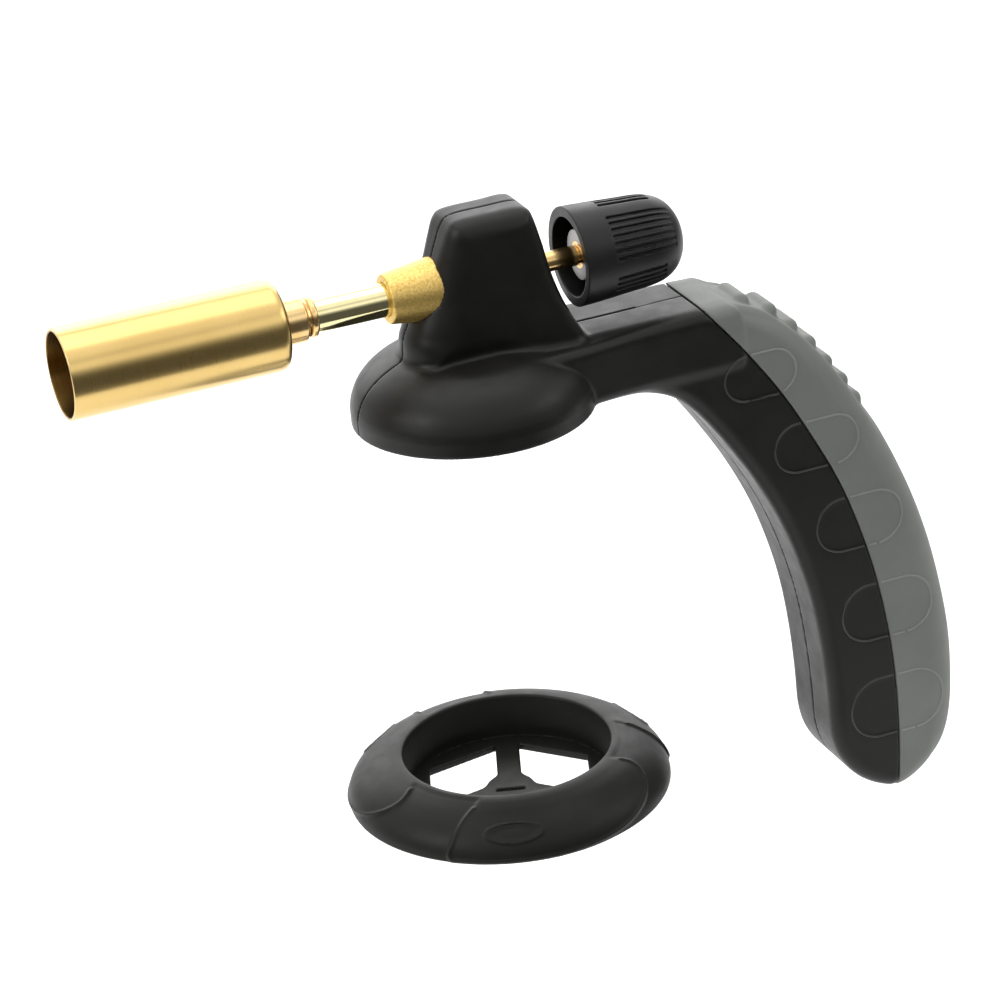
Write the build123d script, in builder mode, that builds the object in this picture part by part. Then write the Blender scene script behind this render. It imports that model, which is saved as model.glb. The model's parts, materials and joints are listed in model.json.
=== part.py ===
from build123d import *

# Hand torch for a screw-on gas cartridge, with a pistol handle and a clip-on foot ring.
# Millimetres, +Z up. The origin is the mouth of the cartridge thread, on the cartridge axis.
# +X runs from the burner to the handle, and the mould line of the housing lies on Y = 0.
import os
from math import radians, tan

os.makedirs("parts", exist_ok=True)

# ---------------------------------------------------------------- driving dimensions
THREAD_R = 5.15  # minor radius of the 7/16-28 UNEF cartridge thread
THREAD_LENGTH = 9.0
CARTRIDGE_R = 33.0

AXIS_Z = 26.3  # height of the gas line, which carries burner, valve and knob
GAS_LINE = Axis((0, 0, AXIS_Z), (1, 0, 0))

WALL = 2.5  # moulded housing wall
DOME_R = 37.8
DOME_RIM_Z = -16.0
DOME_SKIRT = 5.0
DECK_Z = 4.0  # flat top of the neck
DECK_FRONT_X = -16.0
NECK_UNDER_Z = -17.5
HEAD_TOP_Z = 48.5
HANDLE_HALF_W = 16.0

BURNER_R = 14.0
BURNER_WALL = 1.0
BURNER_MOUTH_X = -127.3
BURNER_BACK_X = -59.0
NECK_BACK_X = -50.3
TUBE_R = 5.25
TUBE_BORE_R = 3.4
SNOUT_X = -25.0
SNOUT_R = 7.75
BODY_R = 10.0

TUBE_END_X = -17.0
TUBE_FRONT_X = NECK_BACK_X - 6  # the tube, the jet and its seal meet here
CUP_ROUND = 4.0
AIR_PORTS = 8

SEAL_R = 5.6  # the seal sits in an undercut behind the thread
SEAL_BORE_R = 2.2
SEAL_TOP_Z = THREAD_LENGTH + 1.5
PIN_BORE_R = 3.2
FILTER_Z = 12.5
FILTER_H = 2.5
SEAT_R = 1.0
GLAND_X = 10.0
GLAND_R = 5.5

SPINDLE_R = 3.25
GROOVE_X = 5.9  # groove of the needle's seal
GROOVE_W = 1.4
GROOVE_R = 2.0
WASHER_X = 38.5
WASHER_R = 8.0
INSERT_R = 4.3
KNOB_RIM_X = 35.4
KNOB_TIP_X = 72.2
KNOB_RIM_R = 15.9
KNOB_TAPER = 3.8  # degrees, half angle
KNOB_DOME_X = 60.0
FLUTE_PITCH_DEG = 8.6
# Grip flutes in groups round the knob, as the heading of the first flute and their number.
FLUTE_GROUPS = [(122.5 + 120 * k, 7) for k in range(3)] + [(199.7 + 120 * k, 3) for k in range(3)]

RING_BASE_Z = -150.3
RING_BASE_R = 52.2
RING_BORE_R = CARTRIDGE_R + 0.3
RING_TOP_Z = RING_BASE_Z + 18.1
RING_WALL = 2.3
RING_HUB_R = 7.5
RING_SPOKE_W = 8.0
RING_TURN_DEG = 69.6  # heading of the first spoke

FIT = 0.05  # radial running clearance
SEAL_GAP = 0.02

# Handle stations from neck to foot, each as its finger-side and palm-side points (x, z).
HANDLE_STATIONS = [
    ((44, -18.2), (44, 4.0)),
    ((60, -21.9), (70, 4.6)),
    ((69.3, -29.6), (88, 3.2)),
    ((76.5, -39.5), (104.0, -6.6)),
    ((88.5, -60.0), (122.8, -30.5)),
    ((98.3, -81.5), (137.6, -60.5)),
    ((104.6, -105.0), (148.2, -91.0)),
    ((107.8, -130.0), (154.1, -122.0)),
    ((108.6, -158.0), (155.4, -152.0)),
    ((108.6, -187.0), (153.5, -185.0)),
]
FINGER_ROUND = 4.5
PALM_ROUND = 11.0
# Rounded foot of the handle, as (x, z) from the finger side to the palm side.
FOOT_CURVE = [(107.5, -152), (112, -166), (120, -174), (133.8, -179), (145, -175), (152, -166),
              (155.6, -152)]
# Line where the black front meets the grey grip.
GRIP_LINE = [(72.6, 4.6), (85.9, -12.4), (102.8, -38.6), (117.6, -69.1), (126.5, -101.1), (131.4, -135.7),
             (130.6, -181)]

NECK_CUT_X = 46.0  # each housing half is two pieces, which meet here across the neck

# Front x, rear x and half width of the head at its foot, at four heights (first number) and on top.
HEAD_FOOT = (-21.2, 34.0, 15.5)
HEAD_STATIONS = [(12, -20.6, 30.6, 14.6), (18, -17.4, 28.4, 13.8), (27, -12.4, 25.8, 12.8),
                 (38, -8.2, 23.4, 11.8)]
HEAD_TOP = (-5.2, 21.2, 11.0)
HEAD_FRONT_ROUND = 8.0
HEAD_REAR_ROUND = 5.0

# Housing screws, as (x, z): head, neck and three down the handle.
SCREWS = [(6, 41.5), (56, -7), (93, -50), (116, -104), (118, -156)]
SCREW_HEAD_Y = 8.0
SCREW_R = 1.5
SCREW_HEAD_R = 2.9
SCREW_GRIP = 9.0  # depth of thread in the near half
BOSS_R = 4.2
TONGUE_HALF_T = 1.2

# Thumb ribs across the palm side, each as the (x, z) of its crest.
THUMB_RIBS = [(93, 4.2), (101.7, -1.7), (108.1, -9), (114, -16.3), (119.3, -23.9), (124.3, -31.5),
              (128.5, -38.7)]
THUMB_RIB_R = 3.2
THUMB_RIB_HALF_W = 8.0


def turn(outline, mode=Mode.ADD):
    """Revolve a closed (x, radius) outline about the gas line, in the part being built."""
    with BuildSketch(Plane.XZ) as profile:
        with BuildLine():
            Polyline([(x, AXIS_Z + r) for x, r in outline], close=True)
        make_face()
    revolve(profile.sketch, axis=GAS_LINE, mode=mode)


def handle_body(inset=0.0):
    """Neck and handle as one smooth form, shrunk by inset on every side."""
    with BuildPart() as body:
        for finger, palm in HANDLE_STATIONS:
            across = Vector(palm[0] - finger[0], 0, palm[1] - finger[1])
            middle = Vector(palm[0] + finger[0], 0, palm[1] + finger[1]) / 2
            station = Plane(origin=middle, x_dir=across, z_dir=across.cross(Vector(0, 1, 0)))
            with BuildSketch(station) as section:
                Rectangle(across.length - 2 * inset, 2 * (HANDLE_HALF_W - inset))
                fillet(section.vertices().sort_by(Axis.X)[:2], FINGER_ROUND - 0.8 * inset)
                fillet(section.vertices().sort_by(Axis.X)[-2:], PALM_ROUND - inset)
        loft()
        with BuildSketch(Plane.XZ):
            with BuildLine():
                Spline([(x, z + inset) for x, z in FOOT_CURVE], tangents=[(0, -1), (0, 1)])
                Polyline([(155.6, -152 + inset), (156, 20), (30, 20), (30, -152 + inset),
                          (107.5, -152 + inset)])
            make_face()
        extrude(amount=2 * HANDLE_HALF_W, both=True, mode=Mode.INTERSECT)
    return body.part


def grip_zone():
    """Everything behind the line where the grey grip begins."""
    with BuildSketch(Plane.XZ) as zone:
        with BuildLine():
            Spline(GRIP_LINE)
            Polyline([GRIP_LINE[-1], (175, -181), (175, 12), (72.6, 12), GRIP_LINE[0]])
        make_face()
    return zone.sketch


def head_body(inset=0.0, foot_z=DECK_Z - 1):
    """Block that holds the valve: upright at the foot, leaning back above it; shrunk by inset."""
    with BuildPart() as block:
        levels = [(foot_z, *HEAD_FOOT), *HEAD_STATIONS, (HEAD_TOP_Z - inset, *HEAD_TOP)]
        for z, front, rear, half_w in levels:
            with BuildSketch(Plane.XY.offset(z)) as level:
                with Locations(((front + rear) / 2, 0)):
                    Rectangle(rear - front - 2 * inset, 2 * (half_w - inset))
                fillet(level.vertices().group_by(Axis.X)[0], HEAD_FRONT_ROUND - inset)
                fillet(level.vertices().group_by(Axis.X)[-1], HEAD_REAR_ROUND - inset)
        loft()
    return block.part


def screw_holes(radius, y_near, y_far):
    """Round bar across the mould line at every screw, from y_near to y_far."""
    with BuildPart() as bars:
        for x, z in SCREWS:
            with BuildSketch(Plane(origin=(x, y_near, z), x_dir=(1, 0, 0), z_dir=(0, 1, 0))):
                Circle(radius)
            extrude(amount=y_far - y_near)
    return bars.part


handle_form = handle_body()

# ---------------------------------------------------------------- housing, outer and inner shape
with BuildPart() as outer_form:
    with BuildSketch(Plane.XZ):
        with BuildLine():
            skirt = Polyline([(0, 5), (0, DOME_RIM_Z), (DOME_R, DOME_RIM_Z),
                              (DOME_R, DOME_RIM_Z + DOME_SKIRT)])
            crown = Spline([skirt @ 1, (31.5, -0.2), (14, 5)], tangents=[(0, 1), (-1, 0)])
            Line(crown @ 1, skirt @ 0)
        make_face()
    revolve(axis=Axis.Z)
    with BuildSketch(Plane.XY.offset(DECK_Z)) as deck:
        with BuildLine():
            near = Spline([(DECK_FRONT_X, -17), (4, -20.5), (24, -20.5), (46, -18), (74, -16)])
            far = Spline([(74, 16), (46, 18), (24, 20.5), (4, 20.5), (DECK_FRONT_X, 17)])
            Line(near @ 1, far @ 0)
            ThreePointArc(far @ 1, (DECK_FRONT_X - 8, 0), near @ 0)
        make_face()
    extrude(amount=NECK_UNDER_Z - DECK_Z)
    with BuildSketch(Plane.XZ):
        with BuildLine():
            Spline([(30, -18.0), (44, -18.2), (62, -22.5), (76, -38.5)])
            Polyline([(76, -38.5), (30, -60), (30, -18.0)])
        make_face()
    extrude(amount=30, both=True, mode=Mode.SUBTRACT)
    add(head_body())
    add(handle_form)

with BuildPart() as inner_form:
    with BuildSketch(Plane.XZ):
        with BuildLine():
            rim = Polyline([(0, 0.5), (0, NECK_UNDER_Z - 1), (DOME_R - WALL, NECK_UNDER_Z - 1),
                            (DOME_R - WALL, DOME_RIM_Z + DOME_SKIRT)])
            vault = Spline([rim @ 1, (29.5, -2.6), (14, 0.5)], tangents=[(0, 1), (-1, 0)])
            Line(vault @ 1, rim @ 0)
        make_face()
    revolve(axis=Axis.Z)
    add(head_body(WALL, DECK_Z))
    add(handle_body(WALL))

with BuildPart() as body_room:
    turn([(SNOUT_X - 1, 0), (SNOUT_X - 1, SNOUT_R), (-8, BODY_R), (22, BODY_R), (22, 0)])
    turn([(20, 0), (20, 4.5), (45, 4.5), (45, 0)])
    with BuildSketch(Plane.XY):
        Circle(11)
    extrude(amount=AXIS_Z)

with BuildPart() as frame_work:
    add(screw_holes(BOSS_R, -20, 20))
    for x in (-7, 11):
        with BuildSketch(Plane.YZ.offset(x)):
            with Locations((0, 25)):
                Rectangle(40, 46)
        extrude(amount=2.4)
    for x in (40, 72):
        with BuildSketch(Plane.YZ.offset(x)):
            with Locations((0, -10)):
                Rectangle(40, 40)
        extrude(amount=2)
    add(inner_form.part, mode=Mode.INTERSECT)

with BuildPart() as grip_space:
    extrude(grip_zone(), amount=25, both=True)

with BuildPart() as tongues:  # flat tabs of the grip, clamped on the mould line by the handle screws
    for x, z in SCREWS[2:]:
        with BuildSketch(Plane.XZ):
            with Locations((x + 17.5, z)):
                Rectangle(45, 2 * BOSS_R)
        extrude(amount=TONGUE_HALF_T, both=True)
    add(inner_form.part, mode=Mode.INTERSECT)

with BuildPart() as shell:
    add(outer_form.part)
    add(inner_form.part, mode=Mode.SUBTRACT)
    add(frame_work.part)
    add(body_room.part, mode=Mode.SUBTRACT)
    add(grip_space.part, mode=Mode.SUBTRACT)
    add(tongues.part, mode=Mode.SUBTRACT)


def finish(piece, name):
    """Label a piece and write it as its own file."""
    piece.part.label = name
    export_step(piece.part, f"parts/{name}.step")


# ---------------------------------------------------------------- housing halves, each cut across the neck
NEAR_HOLES = [(SCREW_R, -SCREW_GRIP, 1)]  # screw pilots
FAR_HOLES = [(SCREW_R + 0.3, -1, SCREW_HEAD_Y), (SCREW_HEAD_R + 0.3, SCREW_HEAD_Y, 30)]

for side, holes, hand in ((Keep.TOP, NEAR_HOLES, "left"), (Keep.BOTTOM, FAR_HOLES, "right")):
    for end, place in ((Keep.BOTTOM, "housing"), (Keep.TOP, "handle")):
        with BuildPart() as quarter:
            add(shell.part)
            split(bisect_by=Plane.XZ, keep=side)
            split(bisect_by=Plane.YZ.offset(NECK_CUT_X), keep=end)
            for radius, y_near, y_far in holes:
                add(screw_holes(radius, y_near, y_far), mode=Mode.SUBTRACT)
        finish(quarter, f"{place}_{hand}")

with BuildPart() as housing_screws:
    add(screw_holes(SCREW_R, -SCREW_GRIP, SCREW_HEAD_Y))
    add(screw_holes(SCREW_HEAD_R, SCREW_HEAD_Y, SCREW_HEAD_Y + 2))
finish(housing_screws, "housing_screws")

with BuildPart() as rear_grip:
    add(handle_form)
    add(grip_space.part, mode=Mode.INTERSECT)
    for x, z in THUMB_RIBS:
        with BuildSketch(Plane.XZ):
            with Locations((x - 2.2, z - 1.4)):
                Circle(THUMB_RIB_R)
        extrude(amount=THUMB_RIB_HALF_W, both=True)
    add(inner_form.part, mode=Mode.SUBTRACT)
    add(tongues.part)
    add(screw_holes(SCREW_R + 0.3, -5, 5), mode=Mode.SUBTRACT)
finish(rear_grip, "rear_grip")

# ---------------------------------------------------------------- gas line, from thread to burner
with BuildPart() as valve_body:
    turn([(SNOUT_X, 0), (SNOUT_X, SNOUT_R), (-8, BODY_R), (10, BODY_R), (12, 8), (17, 8), (17, 0)])
    with BuildSketch(Plane.XY):
        Circle(11)
    extrude(amount=2.5)
    with BuildSketch(Plane.XY):
        Circle(9)
    extrude(amount=AXIS_Z)
    with BuildSketch(Plane.XY):
        Circle(THREAD_R)
    extrude(amount=THREAD_LENGTH, mode=Mode.SUBTRACT)
    with BuildSketch(Plane.XY.offset(THREAD_LENGTH)):
        Circle(SEAL_R)
    extrude(amount=SEAL_TOP_Z - THREAD_LENGTH, mode=Mode.SUBTRACT)
    with BuildSketch(Plane.XY):
        Circle(PIN_BORE_R)
    extrude(amount=FILTER_Z + FILTER_H, mode=Mode.SUBTRACT)
    with BuildSketch(Plane.XY):
        Circle(1.2)
    extrude(amount=AXIS_Z, mode=Mode.SUBTRACT)
    turn([(-26, 0), (-26, TUBE_R), (TUBE_END_X, TUBE_R), (TUBE_END_X, 2), (-5, 2), (-5, 0)], Mode.SUBTRACT)
    turn([(-6, 0), (-6, SEAT_R), (-3, SEAT_R), (-3, SPINDLE_R + FIT), (GLAND_X, SPINDLE_R + FIT),
          (GLAND_X, GLAND_R), (18, GLAND_R), (18, 0)], Mode.SUBTRACT)
finish(valve_body, "valve_body")

with BuildPart() as socket_seal:  # rubber washer that the cartridge valve presses on
    with BuildSketch(Plane.XY.offset(THREAD_LENGTH)):
        Circle(SEAL_R)
        Circle(SEAL_BORE_R, mode=Mode.SUBTRACT)
    extrude(amount=SEAL_TOP_Z - THREAD_LENGTH)
finish(socket_seal, "socket_seal")

with BuildPart() as valve_pin:  # opens the cartridge valve as it is screwed home
    with BuildSketch(Plane.XY.offset(THREAD_LENGTH + 0.2)):
        Circle(1.0)
    extrude(amount=SEAL_TOP_Z - THREAD_LENGTH - 0.2)
    with BuildSketch(Plane.XY.offset(SEAL_TOP_Z)):
        Circle(PIN_BORE_R)
        with PolarLocations(2.1, 3):
            Circle(0.6, mode=Mode.SUBTRACT)
    extrude(amount=FILTER_Z - SEAL_TOP_Z)
finish(valve_pin, "valve_pin")

with BuildPart() as inlet_filter:
    with BuildSketch(Plane.XY.offset(FILTER_Z)):
        Circle(PIN_BORE_R)
    extrude(amount=FILTER_H)
finish(inlet_filter, "inlet_filter")

with BuildPart() as gland_nut:
    turn([(GLAND_X, SPINDLE_R + FIT), (GLAND_X, GLAND_R), (20, GLAND_R), (20, SPINDLE_R + FIT)])
    with BuildSketch(Plane.YZ.offset(17)):
        with Locations((0, AXIS_Z)):
            RegularPolygon(6.6, 6)
            Circle(SPINDLE_R + FIT, mode=Mode.SUBTRACT)
    extrude(amount=3.2)
finish(gland_nut, "gland_nut")

with BuildPart() as lance_tube:
    turn([(TUBE_FRONT_X, TUBE_BORE_R), (TUBE_FRONT_X, TUBE_R), (TUBE_END_X, TUBE_R),
          (TUBE_END_X, TUBE_BORE_R)])
finish(lance_tube, "lance_tube")

with BuildPart() as tube_collar:
    turn([(NECK_BACK_X, TUBE_R), (NECK_BACK_X, 5.9), (-49.6, 6.3), (-48.6, 6.3), (-48, 5.9), (-48, TUBE_R)])
finish(tube_collar, "tube_collar")

with BuildPart() as jet:
    turn([(-62, 0.2), (-62, 1.4), (-60, 2.4), (TUBE_FRONT_X, 2.4), (TUBE_FRONT_X, TUBE_BORE_R),
          (-51, TUBE_BORE_R), (-51, 1.2), (-60, 1.2), (-61, 0.2)])
finish(jet, "jet")

with BuildPart() as jet_seal:
    turn([(TUBE_FRONT_X - 0.6, 2.4), (TUBE_FRONT_X - 0.6, 5.0), (TUBE_FRONT_X, 5.0), (TUBE_FRONT_X, 2.4)])
finish(jet_seal, "jet_seal")

with BuildPart() as burner_neck:
    turn([(-64, 5.0), (-64, 7.0), (-53.5, 7.0), (-51.3, 6.6), (NECK_BACK_X, 5.9), (NECK_BACK_X, TUBE_R),
          (TUBE_FRONT_X, TUBE_R), (TUBE_FRONT_X, 5.0)])
finish(burner_neck, "burner_neck")

with BuildPart() as burner_cup:
    with BuildSketch(Plane.XZ) as cup_profile:
        with BuildLine():
            outside = Polyline([(BURNER_MOUTH_X, AXIS_Z + BURNER_R - BURNER_WALL),
                                (BURNER_MOUTH_X, AXIS_Z + BURNER_R),
                                (BURNER_BACK_X - CUP_ROUND, AXIS_Z + BURNER_R)])
            shoulder = RadiusArc(outside @ 1, (BURNER_BACK_X, AXIS_Z + BURNER_R - CUP_ROUND), CUP_ROUND)
            Polyline([shoulder @ 1, (BURNER_BACK_X, AXIS_Z + 7), (BURNER_BACK_X - 1.6, AXIS_Z + 7),
                      (BURNER_BACK_X - 1.6, AXIS_Z + BURNER_R - CUP_ROUND),
                      (BURNER_BACK_X - CUP_ROUND, AXIS_Z + BURNER_R - BURNER_WALL), outside @ 0])
        make_face()
    revolve(axis=GAS_LINE)
    with BuildSketch(Plane.YZ.offset(BURNER_BACK_X + 1)):
        with Locations((0, AXIS_Z)):
            with PolarLocations(9.2, AIR_PORTS):
                Circle(1.3)
    extrude(amount=-5, mode=Mode.SUBTRACT)
finish(burner_cup, "burner_cup")

with BuildPart() as flame_holder:  # pierced disc that keeps the flame in the cup
    turn([(-84, 0), (-84, BURNER_R - BURNER_WALL), (-80, BURNER_R - BURNER_WALL), (-80, 0)])
    with BuildSketch(Plane.YZ.offset(-79)):
        with Locations((0, AXIS_Z)):
            Circle(2.6)
            for radius, count in ((6, 8), (10, 14)):
                with PolarLocations(radius, count):
                    Circle(1.1)
    extrude(amount=-6, mode=Mode.SUBTRACT)
finish(flame_holder, "flame_holder")

# ---------------------------------------------------------------- needle and knob
with BuildPart() as spindle:
    turn([(-4.6, 0), (-4.6, 0.3), (-3, 0.95), (2.5, 0.95), (2.5, SPINDLE_R), (GROOVE_X, SPINDLE_R),
          (GROOVE_X, GROOVE_R), (GROOVE_X + GROOVE_W, GROOVE_R), (GROOVE_X + GROOVE_W, SPINDLE_R),
          (62, SPINDLE_R), (62, 0)])
finish(spindle, "spindle")

with BuildPart() as spindle_seal:
    inner_r, outer_r = GROOVE_R + SEAL_GAP, SPINDLE_R + FIT - SEAL_GAP
    turn([(GROOVE_X + FIT, inner_r), (GROOVE_X + FIT, outer_r), (GROOVE_X + GROOVE_W - FIT, outer_r),
          (GROOVE_X + GROOVE_W - FIT, inner_r)])
finish(spindle_seal, "spindle_seal")

with BuildPart() as knob_insert:
    turn([(WASHER_X, SPINDLE_R), (WASHER_X, INSERT_R), (62, INSERT_R), (62, SPINDLE_R)])
finish(knob_insert, "knob_insert")

with BuildPart() as knob_washer:
    turn([(WASHER_X, INSERT_R), (WASHER_X, WASHER_R), (WASHER_X + 1, WASHER_R), (WASHER_X + 1, INSERT_R)])
finish(knob_washer, "knob_washer")

with BuildPart() as knob:
    with BuildSketch(Plane.XZ) as knob_profile:
        dome_r = KNOB_RIM_R - (KNOB_DOME_X - KNOB_RIM_X) * tan(radians(KNOB_TAPER))
        with BuildLine():
            side = Line((KNOB_RIM_X, AXIS_Z + KNOB_RIM_R), (KNOB_DOME_X, AXIS_Z + dome_r))
            tip = Spline([side @ 1, (KNOB_TIP_X - 3, AXIS_Z + 8.6), (KNOB_TIP_X, AXIS_Z)],
                         tangents=[(1, -tan(radians(KNOB_TAPER))), (0, -1)])
            Polyline([tip @ 1, (62, AXIS_Z), (62, AXIS_Z + INSERT_R), (WASHER_X + 1, AXIS_Z + INSERT_R),
                      (WASHER_X + 1, AXIS_Z + WASHER_R), (60, AXIS_Z + WASHER_R), (60, AXIS_Z + 12),
                      (KNOB_RIM_X, AXIS_Z + 13.2), side @ 0])
        make_face()
    revolve(axis=GAS_LINE)
    with BuildSketch(Plane.YZ.offset(45)) as flutes:
        with Locations((0, AXIS_Z)):
            for start_deg, count in FLUTE_GROUPS:
                with PolarLocations(KNOB_RIM_R, count, start_deg, count * FLUTE_PITCH_DEG):
                    Rectangle(3.2, 1.2)
    extrude(amount=20, mode=Mode.SUBTRACT)
finish(knob, "knob")

# ---------------------------------------------------------------- foot ring
with BuildPart() as foot_ring:
    with BuildSketch(Plane.XZ):
        with BuildLine():
            edge = Polyline([(RING_BASE_R - RING_WALL, RING_BASE_Z), (RING_BASE_R, RING_BASE_Z),
                             (RING_BASE_R, RING_BASE_Z + 3.5)])
            bulge = Spline([edge @ 1, (46.5, RING_BASE_Z + 12.6), (RING_BORE_R + 1.5, RING_TOP_Z)],
                           tangents=[(0, 1), (-1, 0.1)])
            wall = Polyline([bulge @ 1, (RING_BORE_R, RING_TOP_Z - 1.5), (RING_BORE_R, RING_BASE_Z + 2),
                             (RING_BORE_R + RING_WALL, RING_BASE_Z + 2),
                             (RING_BORE_R + RING_WALL, RING_TOP_Z - 2.6)])
            foot = (RING_BASE_R - RING_WALL, RING_BASE_Z + 3)
            under = Spline([wall @ 1, (44.8, RING_BASE_Z + 10.8), foot], tangents=[(1, -0.1), (0, -1)])
            Line(under @ 1, edge @ 0)
        make_face()
    revolve(axis=Axis.Z)
    floor_plane = Plane.XY.offset(RING_BASE_Z + 1).rotated((0, 0, RING_TURN_DEG))
    with BuildSketch(floor_plane):
        Circle(RING_BORE_R + RING_WALL / 2)
        RegularPolygon(RING_BORE_R - 4, 6, mode=Mode.SUBTRACT)
        Circle(RING_HUB_R)
        for spoke_deg in (0, 120, 240):
            with Locations(Rotation(0, 0, spoke_deg)):
                with Locations((RING_BORE_R / 2, 0)):
                    Rectangle(RING_BORE_R, RING_SPOKE_W)
    extrude(amount=RING_WALL)
    with BuildSketch(floor_plane):
        with Locations((-3, 0)):
            Rectangle(1.6, 9)
    extrude(amount=RING_WALL, mode=Mode.SUBTRACT)
finish(foot_ring, "foot_ring")
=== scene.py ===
"""Looks of the cartridge torch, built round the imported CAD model.

Fields are worked out in millimetres in the CAD frame (+Z up, burner along -X, handle towards +X,
origin at the mouth of the cartridge thread), and meshes are scaled to metres when they are made.
"""
import json
from math import cos, pi, radians, sin

import bmesh
import bpy
import numpy as np
from mathutils import Matrix, Vector

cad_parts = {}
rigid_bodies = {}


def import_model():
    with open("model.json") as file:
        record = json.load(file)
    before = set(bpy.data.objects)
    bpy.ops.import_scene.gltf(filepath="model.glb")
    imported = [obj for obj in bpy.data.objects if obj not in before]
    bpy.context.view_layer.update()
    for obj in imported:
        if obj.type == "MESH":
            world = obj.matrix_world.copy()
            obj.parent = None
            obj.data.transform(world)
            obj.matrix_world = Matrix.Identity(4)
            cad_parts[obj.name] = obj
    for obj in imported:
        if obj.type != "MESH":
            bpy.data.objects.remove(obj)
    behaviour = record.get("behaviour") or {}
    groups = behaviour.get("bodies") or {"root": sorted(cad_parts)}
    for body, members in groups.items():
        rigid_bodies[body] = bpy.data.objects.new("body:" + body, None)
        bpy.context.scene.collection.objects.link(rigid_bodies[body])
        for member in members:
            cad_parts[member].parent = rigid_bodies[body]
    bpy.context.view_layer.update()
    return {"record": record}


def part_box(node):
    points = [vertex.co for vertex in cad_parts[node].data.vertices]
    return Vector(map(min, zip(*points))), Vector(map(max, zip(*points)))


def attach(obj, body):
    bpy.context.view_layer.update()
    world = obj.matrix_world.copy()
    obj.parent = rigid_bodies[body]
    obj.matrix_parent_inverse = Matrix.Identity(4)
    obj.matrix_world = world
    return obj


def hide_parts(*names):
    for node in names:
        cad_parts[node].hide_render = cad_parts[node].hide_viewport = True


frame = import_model()

MM = 0.001


def node_mm(name):
    """Lowest and highest corner of a CAD node, in millimetres."""
    low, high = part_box(name)
    return np.array(low) / MM, np.array(high) / MM


# ------------------------------------------------------------------ driving sizes, from the frame
CUP_LOW, CUP_HIGH = node_mm("burner_cup")
NECK_LOW, NECK_HIGH = node_mm("burner_neck")
COLLAR_LOW, COLLAR_HIGH = node_mm("tube_collar")
TUBE_LOW, TUBE_HIGH = node_mm("lance_tube")
BODY_LOW, BODY_HIGH = node_mm("valve_body")
SPINDLE_LOW, _ = node_mm("spindle")
KNOB_LOW, KNOB_HIGH = node_mm("knob")
WASHER_LOW, WASHER_HIGH = node_mm("knob_washer")
RING_LOW, RING_HIGH = node_mm("foot_ring")

AXIS_Z = (CUP_LOW[2] + CUP_HIGH[2]) / 2  # height of the gas line
RIM_Z = -16.0  # rim of the dome
DOME_R = 37.8
DECK_Z = 4.0  # top of the deck that joins dome and handle
DECK_DEEP = 20.0
HALF_W = 16.0  # half width of the handle
THREAD_R = 5.15
THREAD_PITCH = 0.907

# ------------------------------------------------------------------ field tools


def axes(low, high, step):
    """Open grid over a box, padded by two steps."""
    lines = [np.arange(a - 2 * step, b + 2.5 * step, step) for a, b in zip(low, high)]
    return np.meshgrid(*lines, indexing="ij", sparse=True), lines


def smooth_union(a, b, blend):
    """Either a or b, with the corner between them filled over blend."""
    h = np.clip(0.5 + 0.5 * (b - a) / blend, 0, 1)
    return b + (a - b) * h - blend * h * (1 - h)


def smooth_cut(a, b, blend):
    """Both a and b, with the edge between them eased over blend."""
    return -smooth_union(-a, -b, blend)


def round_cut(a, b, radius):
    """Both a and b, with a true round of the given radius where they meet."""
    return np.minimum(np.maximum(a, b) + radius, 0) + np.hypot(
        np.maximum(a + radius, 0), np.maximum(b + radius, 0)) - radius


def smooth_line(points, steps=5):
    """Catmull-Rom curve through the points, with that many steps between two of them."""
    p = np.array(points, float)
    p = np.vstack([2 * p[0] - p[1], p, 2 * p[-1] - p[-2]])
    t = np.linspace(0, 1, steps, endpoint=False)[:, None]
    parts = []
    for a, b, c, d in zip(p, p[1:], p[2:], p[3:]):
        parts.append(0.5 * (2 * b + (c - a) * t + (2 * a - 5 * b + 4 * c - d) * t ** 2
                            + (3 * b - a - 3 * c + d) * t ** 3))
    return np.vstack(parts + [np.array(points[-1], float)])


def outline_distance(u, v, outline):
    """Signed distance from (u, v) to a closed outline, negative inside. u and v broadcast."""
    u, v = np.broadcast_arrays(u, v)
    best = np.full(u.shape, 1e9)
    inside = np.zeros(u.shape, bool)
    for (ax, ay), (bx, by) in zip(outline, np.roll(outline, -1, axis=0)):
        ex, ey = bx - ax, by - ay
        span = ex * ex + ey * ey
        if span < 1e-9:
            continue
        t = np.clip(((u - ax) * ex + (v - ay) * ey) / span, 0, 1)
        best = np.minimum(best, (u - ax - t * ex) ** 2 + (v - ay - t * ey) ** 2)
        crosses = (ay > v) != (by > v)
        if ey:
            inside ^= crosses & (u < ax + (v - ay) * ex / ey)
    return np.where(inside, -1, 1) * np.sqrt(best)


def look_up(table, fu, fv):
    """Bilinear value of the table at fractional row fu and column fv."""
    iu = np.minimum(fu.astype(int), table.shape[0] - 2)
    iv = np.minimum(fv.astype(int), table.shape[1] - 2)
    du = fu - iu
    dv = fv - iv
    return ((table[iu, iv] * (1 - du) + table[iu + 1, iv] * du) * (1 - dv)
            + (table[iu, iv + 1] * (1 - du) + table[iu + 1, iv + 1] * du) * dv)


def around(radius, height, outline, cell=0.25):
    """Field of the outline (radius, height) turned about an axis, through a fine table."""
    outline = np.array(outline)
    u = np.arange(0, radius.max() + 2 * cell, cell)
    v = np.arange(height.min() - cell, height.max() + 2 * cell, cell)
    table = outline_distance(u[:, None], v[None, :], outline)
    return look_up(table, radius / cell, (height - v[0]) / cell)


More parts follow.
